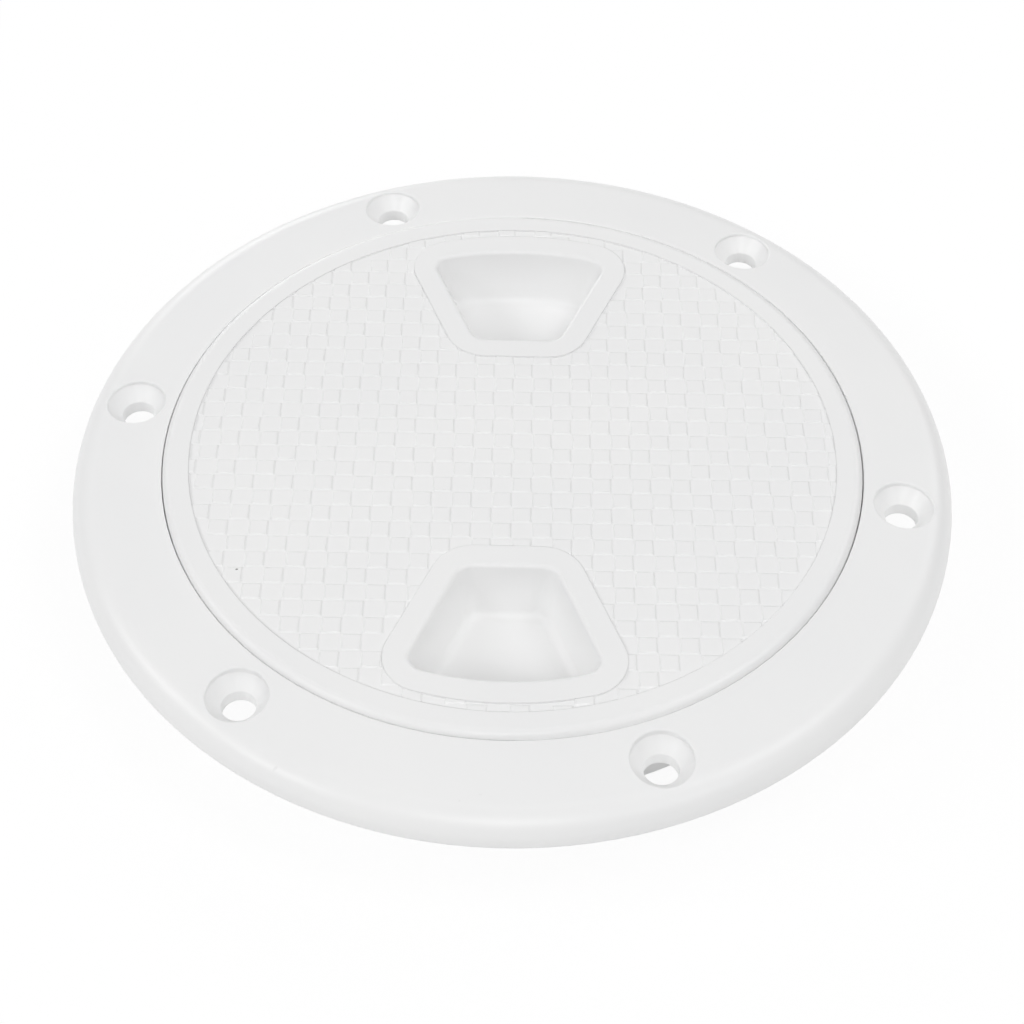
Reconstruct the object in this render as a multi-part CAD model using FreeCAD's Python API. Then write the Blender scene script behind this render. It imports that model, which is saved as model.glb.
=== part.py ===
import FreeCAD, Part
import math
import os

os.makedirs("parts", exist_ok=True)

Vec = FreeCAD.Vector
AXIS = Vec(0, 0, 1)
CENTRE = Vec(0, 0, 0)

# Deck ring: z is 0 on the deck, and the widths follow each other out from the free way
clear_radius = 50.8
thread_depth = 1.5
collar_wall = 3.4
collar_past_skirt = 2.8
collar_bevel = 0.8
ledge_width = 5.05
flange_width = 10.6
flange_height = 5.6
flange_fall = 0.6
edge_round = 4.55
recess_edge_round = 0.2

# Screw holes for countersunk screws
hole_count = 6
hole_radius = 2.7
hole_inset = 6.6
hole_turn = -8.45
sink_radius = 4.75
sink_wall = 0.75
sink_angle = 84.0
sink_lip_round = 0.3

# Hollow under the flange, with a boss left round each screw hole
relief_depth = 2.2
relief_wall_in = 2.6
relief_wall_out = 3.8
boss_radius = 6.0

# Lid: a disc that stands a little proud of the flange
lid_proud = 0.85
lid_gap = 0.15
lid_edge_round = 1.4
lid_rim_thickness = 3.2
lid_wall = 2.6
seat_gap = 0.1
skirt_wall = 2.4
skirt_length = 13.0
skirt_bevel = 0.8

# Single-start thread between lid and ring
thread_pitch = 3.2
thread_clearance = 0.3
flank_clearance = 0.25
crest_half_width = 0.5
flank_slope = 0.4
thread_end = 1.0
ridge_root = 0.4

# Round rubber seal in the corner under the lid's rim
seal_section = 2.6
seal_clearance = 0.1

# Two finger pockets, each a trapezium whose wide side follows the rim
pocket_inner = 25.1
pocket_skirt_margin = 1.0
pocket_half_width = 7.2
pocket_side_angle = 22.8
pocket_depth = 10.3
pocket_draft = 10.0
pocket_wall = 2.0
pocket_inner_corner = 3.0
pocket_outer_corner = 2.6
pocket_floor_round = 1.8
pocket_lip_round = 0.75
pocket_border = 4.15

# Raised anti-slip checks in a sunk field, a little lower than the rim and the pockets' borders
rim_band = 4.35
field_depth = 0.32
check_pitch = 3.21
check_turn = 0.95
check_height = 0.2
check_gap = 0.1
check_taper = 0.25
least_check_share = 0.12

# Radii and heights that follow from the sizes above
root_radius = clear_radius + thread_depth
collar_radius = root_radius + collar_wall
recess_radius = root_radius + ledge_width
hole_circle_radius = recess_radius + hole_inset
lid_height = flange_height + lid_proud
rim_underside = lid_height - lid_rim_thickness
ledge_height = rim_underside - seat_gap
lid_radius = recess_radius - lid_gap
skirt_radius = clear_radius - thread_clearance
skirt_inner_radius = skirt_radius - skirt_wall
skirt_foot = rim_underside - skirt_length
collar_foot = skirt_foot - collar_past_skirt
plate_underside = lid_height - lid_wall
pocket_outer = skirt_inner_radius - pocket_skirt_margin
field_radius = lid_radius - rim_band
field_floor = lid_height - field_depth

# The seal just clears the lid's rim, the lid's skirt and the ring's 45 degree seat
seal_reach = seal_section / 2 + seal_clearance
seal_radius = skirt_radius + seal_reach
seal_height = rim_underside - seal_reach
seat_radius = seal_radius + ledge_height - seal_height + math.sqrt(2) * seal_reach
seat_foot = ledge_height - (seat_radius - root_radius)

# The lid's ridge climbs from just above the skirt's foot to just below the seal
ridge_half_width = crest_half_width + flank_slope * thread_depth
lid_ridge_start = skirt_foot + thread_end + ridge_half_width
lid_ridge_top = seal_height - seal_reach - thread_end - ridge_half_width
thread_turns = (lid_ridge_top - lid_ridge_start) / thread_pitch


def at_turn(radius, height, turn=0.0):
    """Point at a radius and height, turned about the plate's axis by degrees."""
    angle = math.radians(turn)
    return Vec(radius * math.cos(angle), radius * math.sin(angle), height)


def path(points):
    """Straight edges that join the points in turn."""
    return [Part.makeLine(start, end) for start, end in zip(points, points[1:])]


def turned(edges):
    """Solid of a half section, given as edges in the XZ plane, turned about the axis."""
    return Part.Face(Part.Wire(edges)).revolve(CENTRE, AXIS, 360)


def ring_block(inner, outer, bottom, top):
    """Plain ring between two radii and two heights."""
    height = top - bottom
    block = Part.makeCylinder(outer, height, Vec(0, 0, bottom))
    return block.cut(Part.makeCylinder(inner, height, Vec(0, 0, bottom)))


def flat_sided(top, bottom):
    """Solid between two polygons with the same number of corners."""
    faces = [Part.Face(Part.makePolygon(corners + corners[:1])) for corners in (top, bottom)]
    for index in range(len(top)):
        after = (index + 1) % len(top)
        side = [top[index], top[after], bottom[after], bottom[index], top[index]]
        faces.append(Part.Face(Part.makePolygon(side)))
    block = Part.Solid(Part.Shell(faces))
    if block.Volume < 0:
        block.reverse()
    return block


def helical_ridge(wall_radius, crest_radius, crest_half, start, turns):
    """Ridge with sloping flanks that climbs a wall as a helix, its root sunk in the wall."""
    outwards = 1 if crest_radius > wall_radius else -1
    root = wall_radius - outwards * ridge_root
    root_half = crest_half + flank_slope * abs(crest_radius - root)
    section = Part.makePolygon([
        Vec(root, 0, start - root_half),
        Vec(crest_radius, 0, start - crest_half),
        Vec(crest_radius, 0, start + crest_half),
        Vec(root, 0, start + root_half),
        Vec(root, 0, start - root_half),
    ])
    helix = Part.makeHelix(thread_pitch, thread_pitch * turns, wall_radius)
    helix.translate(Vec(0, 0, start))
    return Part.Wire(helix.Edges).makePipeShell([section], True, True)


def arc_from(middle, radius, first, last):
    """Arc in the XZ plane between two angles, in radians from the outward direction."""
    angles = (first, (first + last) / 2, last)
    points = [middle + Vec(radius * math.cos(angle), 0, radius * math.sin(angle)) for angle in angles]
    return Part.Arc(*points).toShape()


def flange_top(radius):
    """Height of the flange's falling top face at a radius."""
    return flange_height - flange_fall * (radius - recess_radius) / flange_width


def ring_section():
    """Half section of the ring: collar, rounded flange with a falling top, recess, seal seat."""
    slope = math.atan2(flange_fall, flange_width)
    round_start = recess_radius + flange_width
    normal = Vec(math.sin(slope), 0, math.cos(slope))
    outer_middle = Vec(round_start, 0, flange_top(round_start)) - normal * edge_round
    outer_arc = arc_from(outer_middle, edge_round, 0, math.pi / 2 - slope)
    inner_start = recess_radius + recess_edge_round
    inner_middle = Vec(inner_start, 0, flange_top(inner_start)) - normal * recess_edge_round
    inner_arc = arc_from(inner_middle, recess_edge_round, math.pi / 2 - slope, math.pi)
    below = path([
        Vec(seat_radius, 0, ledge_height),
        Vec(root_radius, 0, seat_foot),
        Vec(root_radius, 0, collar_foot + collar_bevel),
        Vec(root_radius + collar_bevel, 0, collar_foot),
        Vec(collar_radius - collar_bevel, 0, collar_foot),
        Vec(collar_radius, 0, collar_foot + collar_bevel),
        Vec(collar_radius, 0, 0),
        Vec(outer_middle.x + edge_round, 0, 0),
        outer_arc.Vertexes[0].Point,
    ])
    top = path([outer_arc.Vertexes[-1].Point, inner_arc.Vertexes[0].Point])
    recess = path([
        inner_arc.Vertexes[-1].Point,
        Vec(inner_arc.Vertexes[-1].X, 0, ledge_height),
        Vec(seat_radius, 0, ledge_height),
    ])
    return below + [outer_arc] + top + [inner_arc] + recess


def screw_holes():
    """Tools for the countersunk holes: a short wall and a cone over a straight hole, in a circle."""
    cone_top = flange_top(hole_circle_radius) - sink_wall
    cone_depth = (sink_radius - hole_radius) / math.tan(math.radians(sink_angle / 2))
    tools = []
    for index in range(hole_count):
        foot = at_turn(hole_circle_radius, 0, hole_turn + index * 360 / hole_count)
        shank = Part.makeCylinder(hole_radius, cone_top, foot)
        cone = Part.makeCone(hole_radius, sink_radius, cone_depth, foot + AXIS * (cone_top - cone_depth))
        mouth = Part.makeCylinder(sink_radius, 2 * sink_wall, foot + AXIS * cone_top)
        tools.append(shank.fuse([cone, mouth]).removeSplitter())
    return tools


def sink_lips(ring):
    """Edges where the countersinks meet the flange's top face."""
    lips = []
    for edge in ring.Edges:
        box = edge.BoundBox
        sloping = box.ZLength > flange_fall / 10
        if sloping and min(box.XLength, box.YLength) > sink_radius and box.DiagonalLength < 4 * sink_radius:
            lips.append(edge)
    return lips


def relief():
    """Hollow under the flange, less the bosses round the screw holes."""
    outer = recess_radius + flange_width + edge_round - relief_wall_out
    hollow = ring_block(recess_radius + relief_wall_in, outer, 0, relief_depth)
    for index in range(hole_count):
        foot = at_turn(hole_circle_radius, 0, hole_turn + index * 360 / hole_count)
        hollow = hollow.cut(Part.makeCylinder(boss_radius, relief_depth, foot))
    return hollow


def ring_ridge():
    """The ring's thread: half a pitch below the lid's, with a running gap between their flanks."""
    overlap = thread_depth - thread_clearance
    crest_half = thread_pitch / 2 - flank_clearance - crest_half_width - flank_slope * overlap
    start = lid_ridge_start - thread_pitch / 2
    return helical_ridge(root_radius, clear_radius, crest_half, start, thread_turns + 0.5)


def deck_ring():
    """The ring that is screwed to the deck, with the lid's thread in its collar."""
    ring = turned(ring_section())
    ring = ring.cut(relief())
    ring = ring.cut(screw_holes())
    ring = ring.makeFillet(sink_lip_round, sink_lips(ring))
    return ring.fuse(ring_ridge())


def lid_section():
    """Half section of the lid: disc with a rounded edge, and a skirt below it."""
    edge_middle = Vec(lid_radius - lid_edge_round, 0, lid_height - lid_edge_round)
    edge_arc = arc_from(edge_middle, lid_edge_round, 0, math.pi / 2)
    outside = path([
        Vec(0, 0, lid_height),
        Vec(0, 0, plate_underside),
        Vec(skirt_inner_radius, 0, plate_underside),
        Vec(skirt_inner_radius, 0, skirt_foot),
        Vec(skirt_radius - skirt_bevel, 0, skirt_foot),
        Vec(skirt_radius, 0, skirt_foot + skirt_bevel),
        Vec(skirt_radius, 0, rim_underside),
        Vec(lid_radius, 0, rim_underside),
        edge_arc.Vertexes[0].Point,
    ])
    return outside + [edge_arc] + path([edge_arc.Vertexes[-1].Point, Vec(0, 0, lid_height)])


def pocket_outline(side, grow, height):
    """Corners of a pocket's trapezium, grown all round, with its wide side left long."""
    slant = math.radians(pocket_side_angle)
    inner = pocket_inner - grow
    outer = lid_radius + grow
    start = pocket_half_width + grow / math.cos(slant) - pocket_inner * math.tan(slant)
    near_half = start + inner * math.tan(slant)
    far_half = start + outer * math.tan(slant)
    corners = [(near_half, inner), (far_half, outer), (-far_half, outer), (-near_half, inner)]
    return [Vec(side * x, side * y, height) for x, y in corners]


def pocket_block(side, grow, depth, draft=0.0):
    """Pocket-shaped block below the lid's top, its outline grown and its walls drafted."""
    shrink = depth * math.tan(math.radians(draft))
    foot = lid_height - depth
    block = flat_sided(pocket_outline(side, grow, lid_height), pocket_outline(side, grow - shrink, foot))
    outer = pocket_outer + grow
    if draft:
        block = block.common(Part.makeCone(outer - shrink, outer, depth, Vec(0, 0, foot)))
    else:
        block = block.common(Part.makeCylinder(outer, depth, Vec(0, 0, foot)))
    block = block.makeFillet(pocket_inner_corner + grow, corner_edges(block, depth, False))
    return block.makeFillet(pocket_outer_corner + grow, corner_edges(block, depth, True))


def corner_edges(block, depth, far):
    """A pocket block's upright edges, at its wide far side or at its narrow near side."""
    middle = (pocket_inner + pocket_outer) / 2
    upright = [edge for edge in block.Edges if edge.BoundBox.ZLength > 0.9 * depth]
    return [edge for edge in upright if (abs(edge.BoundBox.Center.y) > middle) == far]


def level_edges(shape, height, reach):
    """Edges that lie at one height and are shorter across than a reach."""
    level = []
    for edge in shape.Edges:
        box = edge.BoundBox
        if max(abs(box.ZMin - height), abs(box.ZMax - height)) < 0.001 and box.DiagonalLength < reach:
            level.append(edge)
    return level


def pocket_cavity(side):
    """The space of one finger pocket, with a rounded floor."""
    block = pocket_block(side, 0, pocket_depth, pocket_draft)
    floor = level_edges(block, lid_height - pocket_depth, lid_radius)
    return block.makeFillet(pocket_floor_round, floor)


def pocket_cup(side):
    """The cup that hangs below the lid round one finger pocket."""
    depth = pocket_depth + pocket_wall
    block = pocket_block(side, pocket_wall, depth, pocket_draft)
    floor = level_edges(block, lid_height - depth, lid_radius)
    return block.makeFillet(pocket_floor_round + pocket_wall, floor)


def check_field():
    """The sunk field: a shallow disc less the pockets' borders."""
    field = Part.makeCylinder(field_radius, field_depth, Vec(0, 0, field_floor))
    for side in (1, -1):
        field = field.cut(pocket_block(side, pocket_border, field_depth))
    return field


def leaves_field(point):
    """Whether a point is past the field's circle or in the outline of a pocket's border."""
    slant = math.radians(pocket_side_angle)
    along = abs(point.y) - pocket_inner
    half_width = pocket_half_width + pocket_border / math.cos(slant) + along * math.tan(slant)
    in_border = along > -pocket_border and abs(point.x) < half_width
    return in_border or math.hypot(point.x, point.y) > field_radius


def raised_checks(field):
    """Every second square of a grid, with sloping sides, clipped where the field ends."""
    foot_half = (check_pitch - check_gap) / 2
    top_half = foot_half - check_taper
    turn = FreeCAD.Rotation(AXIS, check_turn)
    signs = ((1, 1), (-1, 1), (-1, -1), (1, -1))
    foot = [turn.multVec(Vec(foot_half * x, foot_half * y, field_floor)) for x, y in signs]
    top = [turn.multVec(Vec(top_half * x, top_half * y, field_floor + check_height)) for x, y in signs]
    pattern = flat_sided(top, foot)
    reach = math.ceil(field_radius / check_pitch)
    whole = []
    crossing = []
    for row in range(-reach, reach):
        for column in range(-reach + row % 2, reach, 2):
            place = turn.multVec(Vec((column + 0.5) * check_pitch, (row + 0.5) * check_pitch, 0))
            if not any(leaves_field(corner + place) for corner in foot):
                whole.append(pattern.translated(place))
            elif place.Length < field_radius + check_pitch:
                crossing.append(pattern.translated(place))
    clipped = Part.makeCompound(crossing).common(field).Solids
    return whole + [check for check in clipped if check.Volume > least_check_share * pattern.Volume]


def lid_ridge():
    """The lid's thread on the outside of its skirt."""
    crest_radius = root_radius - thread_clearance
    return helical_ridge(skirt_radius, crest_radius, crest_half_width, lid_ridge_start, thread_turns)


def screw_lid():
    """The lid: disc, threaded skirt, two finger pockets and the raised checks on its top."""
    lid = turned(lid_section())
    for side in (1, -1):
        lid = lid.fuse(pocket_cup(side))
    for side in (1, -1):
        lid = lid.cut(pocket_cavity(side))
    lid = lid.makeFillet(pocket_lip_round, level_edges(lid, lid_height, lid_radius))
    lid = lid.fuse(lid_ridge())
    field = check_field()
    return lid.cut(field).fuse(Part.makeCompound(raised_checks(field)))


def lid_seal():
    """Round rubber ring between the lid's rim, its skirt and the ring's sloping seat."""
    return Part.makeTorus(seal_radius, seal_section / 2, Vec(0, 0, seal_height))


deck_ring().exportStep("parts/deck_ring.step")
screw_lid().exportStep("parts/screw_lid.step")
lid_seal().exportStep("parts/lid_seal.step")
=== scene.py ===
import math

import bpy
import numpy as np
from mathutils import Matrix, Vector


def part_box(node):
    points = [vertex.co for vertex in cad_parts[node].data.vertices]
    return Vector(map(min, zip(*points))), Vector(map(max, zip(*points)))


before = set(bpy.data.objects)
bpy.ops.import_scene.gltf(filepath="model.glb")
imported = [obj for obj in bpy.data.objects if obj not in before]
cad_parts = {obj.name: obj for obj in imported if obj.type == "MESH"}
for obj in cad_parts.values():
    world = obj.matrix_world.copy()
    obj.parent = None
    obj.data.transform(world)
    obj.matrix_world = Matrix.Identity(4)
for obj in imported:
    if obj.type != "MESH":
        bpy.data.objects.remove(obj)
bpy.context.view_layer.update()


# Deck ring. One moulding in white plastic with a satin gloss: a flange with countersunk screw
# holes that lies on the deck, and a threaded collar below it. The flange's edges are softened
# by the mould, and its skin has the faint unevenness of a moulded face.

class Value:
    """A number that varies over a surface: a node's socket, with arithmetic that adds Math nodes."""

    def __init__(self, finish, socket):
        self.finish = finish
        self.socket = socket

    def math(self, operation, *others):
        """This value and the others through one Math node."""
        numbered = dict(enumerate((self, *others)))
        return self.finish.value("ShaderNodeMath", {"operation": operation}, numbered)

    def __add__(self, other):
        return self.math("ADD", other)

    def __mul__(self, other):
        return self.math("MULTIPLY", other)

    def __rsub__(self, other):
        return self.math("MULTIPLY", -1.0).math("ADD", other)

    def eased(self, start, end):
        """0 before start and 1 after end, with a smooth step between them."""
        settings = {"interpolation_type": "SMOOTHSTEP"}
        sockets = {"Value": self, "From Min": start, "From Max": end}
        return self.finish.value("ShaderNodeMapRange", settings, sockets)


class Finish:
    """A material with one Principled shader, whose constant sockets are set when it is made."""

    def __init__(self, name, constants):
        self.material = bpy.data.materials.new(name)
        self.material.use_nodes = True
        self.tree = self.material.node_tree
        self.shader = self.tree.nodes["Principled BSDF"]
        for socket, value in constants.items():
            self.shader.inputs[socket].default_value = value

    def node(self, kind, settings, sockets):
        """A node of a type, with its settings set first and then its sockets' values or links."""
        made = self.tree.nodes.new(kind)
        for setting, value in settings.items():
            setattr(made, setting, value)
        for socket, value in sockets.items():
            if isinstance(value, Value):
                self.tree.links.new(value.socket, made.inputs[socket])
            else:
                made.inputs[socket].default_value = value
        return made

    def value(self, kind, settings, sockets, output=0):
        """One output of a new node, as a value."""
        return Value(self, self.node(kind, settings, sockets).outputs[output])

    def place(self):
        """Position on the piece in millimetres."""
        metres = Value(self, self.node("ShaderNodeTexCoord", {}, {}).outputs["Object"])
        return self.value("ShaderNodeVectorMath", {"operation": "SCALE"}, {0: metres, "Scale": 1000.0})

    def noise(self, place, per_mm, detail):
        """Soft noise from 0 to 1 with so many features to the millimetre."""
        return self.value("ShaderNodeTexNoise", {}, {"Vector": place, "Scale": per_mm, "Detail": detail})

    def colour(self, share, first, second):
        """The first colour where share is 0 and the second where it is 1."""
        settings = {"data_type": "RGBA"}
        return self.value("ShaderNodeMix", settings, {0: share, 6: first, 7: second}, output=2)

    def feed(self, socket, value):
        """Links a value to one of the shader's sockets."""
        self.tree.links.new(value.socket, self.shader.inputs[socket])


plastic_white = (0.925, 0.925, 0.923, 1)
plastic_white_clouded = (0.910, 0.911, 0.912, 1)
scuff_grey = (0.24, 0.235, 0.23, 1)
mark_height_reach = 1.5
skin_relief = 0.000004


def white_plastic(name, edge_softness, marks=()):
    """White moulded plastic: a clean skin with a faint unevenness, soft edges and a few small marks.

    A mark is (x, y, z, half length, half width, turn, darkness) in millimetres and degrees: a flat
    oval in which the skin is scuffed and greyer, fading out to its rim.
    """
    finish = Finish(name, {"IOR": 1.46, "Specular IOR Level": 0.5})
    place = finish.place()
    cloud = finish.noise(place, 0.035, 2.0)
    grain = finish.noise(place, 1.6, 3.0)
    mottle = finish.noise(place, 0.35, 3.0)
    colour = finish.colour(cloud.eased(0.3, 0.7), plastic_white, plastic_white_clouded)
    scuffed = None
    for x, y, z, half_length, half_width, turn, darkness in marks:
        settings = {"vector_type": "TEXTURE"}
        sockets = {
            "Vector": place,
            "Location": (x, y, z),
            "Rotation": (0, 0, math.radians(turn)),
            "Scale": (half_length, half_width, mark_height_reach),
        }
        in_oval = finish.value("ShaderNodeMapping", settings, sockets)
        settings = {"operation": "LENGTH"}
        reach = finish.value("ShaderNodeVectorMath", settings, {0: in_oval}, output="Value")
        mark = (1.0 - reach.eased(0.35, 1.0)) * darkness
        scuffed = mark if scuffed is None else scuffed + mark
    roughness = grain * 0.05 + mottle * 0.06 + 0.27
    if scuffed is not None:
        colour = finish.colour(scuffed, colour, scuff_grey)
        roughness = roughness + scuffed * 0.5
    finish.feed("Base Color", colour)
    finish.feed("Roughness", roughness)
    soft = finish.value("ShaderNodeBevel", {"samples": 8}, {"Radius": edge_softness})
    relief = grain + mottle * 2.0
    skin = {"Height": relief, "Distance": skin_relief, "Strength": 1.0, "Normal": soft}
    finish.feed("Normal", finish.value("ShaderNodeBump", {}, skin))
    return finish.material


ring_marks = (
    (-32.90, -62.30, 4.1, 0.55, 0.3, 25.0, 0.10),
    (-5.80, -67.60, 5.0, 0.25, 0.25, 0.0, 0.05),
    (-2.80, -66.50, 5.1, 0.35, 0.2, 10.0, 0.05),
)
ring_edge_softness = 0.0002
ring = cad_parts["deck_ring"]
ring.material_slots[0].material = white_plastic("ring_white_plastic", ring_edge_softness, ring_marks)


# Lid seal. A round ring of black rubber in the corner under the lid's rim, moulded in two
# halves and smooth. It is seen in the gap and when the lid is screwed out.

rubber_black = (0.018, 0.018, 0.019, 1)
rubber_black_bloomed = (0.034, 0.034, 0.035, 1)
rubber_relief = 0.000008


def black_rubber(name):
    """Black rubber with a dull skin that is a little greyer and rougher in patches."""
    finish = Finish(name, {"IOR": 1.5})
    place = finish.place()
    bloom = finish.noise(place, 0.25, 4.0)
    grain = finish.noise(place, 4.0, 2.0)
    finish.feed("Base Color", finish.colour(bloom, rubber_black, rubber_black_bloomed))
    finish.feed("Roughness", bloom * 0.2 + 0.42)
    skin = {"Height": grain, "Distance": rubber_relief, "Strength": 1.0}
    finish.feed("Normal", finish.value("ShaderNodeBump", {}, skin))
    return finish.material


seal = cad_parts["lid_seal"]
seal.material_slots[0].material = black_rubber("seal_black_rubber")


# Screw lid. One moulding in the same white plastic: a disc with raised anti-slip checks, two
# finger pockets and a threaded skirt. The checks' edges are worn a little softer than the
# ring's, and one dark speck lies on the checks at the left front.

lid_marks = (
    (-42.27, -27.05, 6.2, 0.3, 0.22, 10.0, 0.95),
)
lid_edge_softness = 0.00028
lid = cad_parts["screw_lid"]
lid.material_slots[0].material = white_plastic("lid_white_plastic", lid_edge_softness, lid_marks)


# Studio. The plate stands on its collar on a pale floor, which the camera sees as nearly
# white, with the plate's shadow kept. Pale walls light it from all round, and soft lamps stand
# round it, the strongest of them to the left and in front.

floor_radius = 6.0
floor_glow = 1.03
floor_glow_share = 0.88
sky_strength = 0.35
backdrop_strength = 1.0
soft_box_width = 24
key_width = 14


def disc_mesh(name, radius, height, rings=4, sides=64):
    """A flat disc: grid of radius r * i / rings and angle 2 pi j / sides at one height."""
    shares = np.arange(1, rings + 1) / rings
    turns = np.arange(sides) * 2 * np.pi / sides
    share, turn = np.meshgrid(shares, turns, indexing="ij")
    level = np.full_like(turn, height)
    around = np.stack([radius * share * np.cos(turn), radius * share * np.sin(turn), level], -1)
    points = np.vstack([[[0.0, 0.0, height]], around.reshape(-1, 3)])
    index = np.arange(rings * sides).reshape(rings, sides) + 1
    after = np.roll(index, -1, axis=1)
    quads = np.stack([index[:-1], index[1:], after[1:], after[:-1]], -1).reshape(-1, 4)
    inner = np.stack([np.zeros(sides, int), index[0], after[0]], -1)
    mesh = bpy.data.meshes.new(name)
    mesh.from_pydata(points.tolist(), [], inner.tolist() + quads.tolist())
    return mesh


floor_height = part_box("deck_ring")[0][2]
floor = bpy.data.objects.new("floor", disc_mesh("floor", floor_radius, floor_height))
bpy.context.scene.collection.objects.link(floor)

floor_finish = Finish("floor_pale", {"Roughness": 0.9, "Specular IOR Level": 0.1})
floor_cloud = floor_finish.noise(floor_finish.place(), 0.004, 2.0)
floor_colour = floor_finish.colour(floor_cloud, (0.86, 0.86, 0.86, 1), (0.84, 0.84, 0.84, 1))
floor_finish.feed("Base Color", floor_colour)
white_light = floor_finish.node("ShaderNodeEmission", {}, {"Color": (1, 1, 1, 1), "Strength": floor_glow})
light_path = floor_finish.node("ShaderNodeLightPath", {}, {})
seen = Value(floor_finish, light_path.outputs["Is Camera Ray"])
seen_in_gloss = Value(floor_finish, light_path.outputs["Is Glossy Ray"])
seen_through = Value(floor_finish, light_path.outputs["Is Transmission Ray"])
glow_share = (seen + seen_in_gloss + seen_through) * floor_glow_share
floor_mix = floor_finish.node("ShaderNodeMixShader", {}, {0: glow_share})
floor_surface = floor_finish.tree.nodes["Material Output"].inputs["Surface"]
floor_finish.tree.links.new(floor_finish.shader.outputs[0], floor_mix.inputs[1])
floor_finish.tree.links.new(white_light.outputs[0], floor_mix.inputs[2])
floor_finish.tree.links.new(floor_mix.outputs[0], floor_surface)
floor.data.materials.append(floor_finish.material)

world = bpy.data.worlds.new("studio")
bpy.context.scene.world = world
world.use_nodes = True
world_tree = world.node_tree
sky = world_tree.nodes["Background"]
sky.inputs["Color"].default_value = (1, 1, 1, 1)
sky.inputs["Strength"].default_value = sky_strength
backdrop = world_tree.nodes.new("ShaderNodeBackground")
backdrop.inputs["Color"].default_value = (1, 1, 1, 1)
backdrop.inputs["Strength"].default_value = backdrop_strength
world_path = world_tree.nodes.new("ShaderNodeLightPath")
world_mix = world_tree.nodes.new("ShaderNodeMixShader")
world_tree.links.new(world_path.outputs["Is Camera Ray"], world_mix.inputs[0])
world_tree.links.new(sky.outputs[0], world_mix.inputs[1])
world_tree.links.new(backdrop.outputs[0], world_mix.inputs[2])
world_tree.links.new(world_mix.outputs[0], world_tree.nodes["World Output"].inputs["Surface"])


def soft_lamp(name, azimuth, height, width, strength):
    """A distant lamp like a studio's soft box: azimuth, height and width in degrees.

    A white face that is square to a lamp of strength 1 is lit to full white by it.
    """
    data = bpy.data.lights.new(name, "SUN")
    data.angle = math.radians(width)
    data.energy = strength * math.pi
    lamp = bpy.data.objects.new(name, data)
    around, up = math.radians(azimuth), math.radians(height)
    level_share = math.cos(up)
    towards = Vector((math.cos(around) * level_share, math.sin(around) * level_share, math.sin(up)))
    lamp.location = towards
    lamp.rotation_mode = "QUATERNION"
    lamp.rotation_quaternion = towards.to_track_quat("Z", "Y")
    bpy.context.scene.collection.objects.link(lamp)


soft_lamp("lamp_key", 215, 37, key_width, 0.116)
soft_lamp("lamp_front", 270, 47, soft_box_width, 0.175)
soft_lamp("lamp_left", 180, 35, soft_box_width, 0.154)
soft_lamp("lamp_front_right", 315, 35, soft_box_width, 0.08)
soft_lamp("lamp_right_high", 0, 60, soft_box_width, 0.14)
soft_lamp("lamp_back_right", 45, 35, soft_box_width, 0.08)
soft_lamp("lamp_back_high", 85, 75, soft_box_width, 0.045)
soft_lamp("lamp_back_low", 110, 13, soft_box_width, 0.12)

# White walls light each other in the pockets and the holes, so the light is followed further.
bpy.context.scene.cycles.diffuse_bounces = 8

# The camera looks down at the lid from the front at about 48 degrees, with a long lens.
lens_length = 74.27
camera_place = (0.004788, -0.233330, 0.262084)
camera_turn = (40.6323, -0.3372, 1.5747)

camera_data = bpy.data.cameras.new("camera")
camera_data.sensor_width = 36.0
camera_data.lens = lens_length
camera_data.clip_start = 0.01
camera_data.clip_end = 20.0
camera = bpy.data.objects.new("camera", camera_data)
camera.location = camera_place
camera.rotation_euler = [math.radians(angle) for angle in camera_turn]
bpy.context.scene.collection.objects.link(camera)
bpy.context.scene.camera = camera
bpy.context.scene.view_settings.view_transform = "Standard"
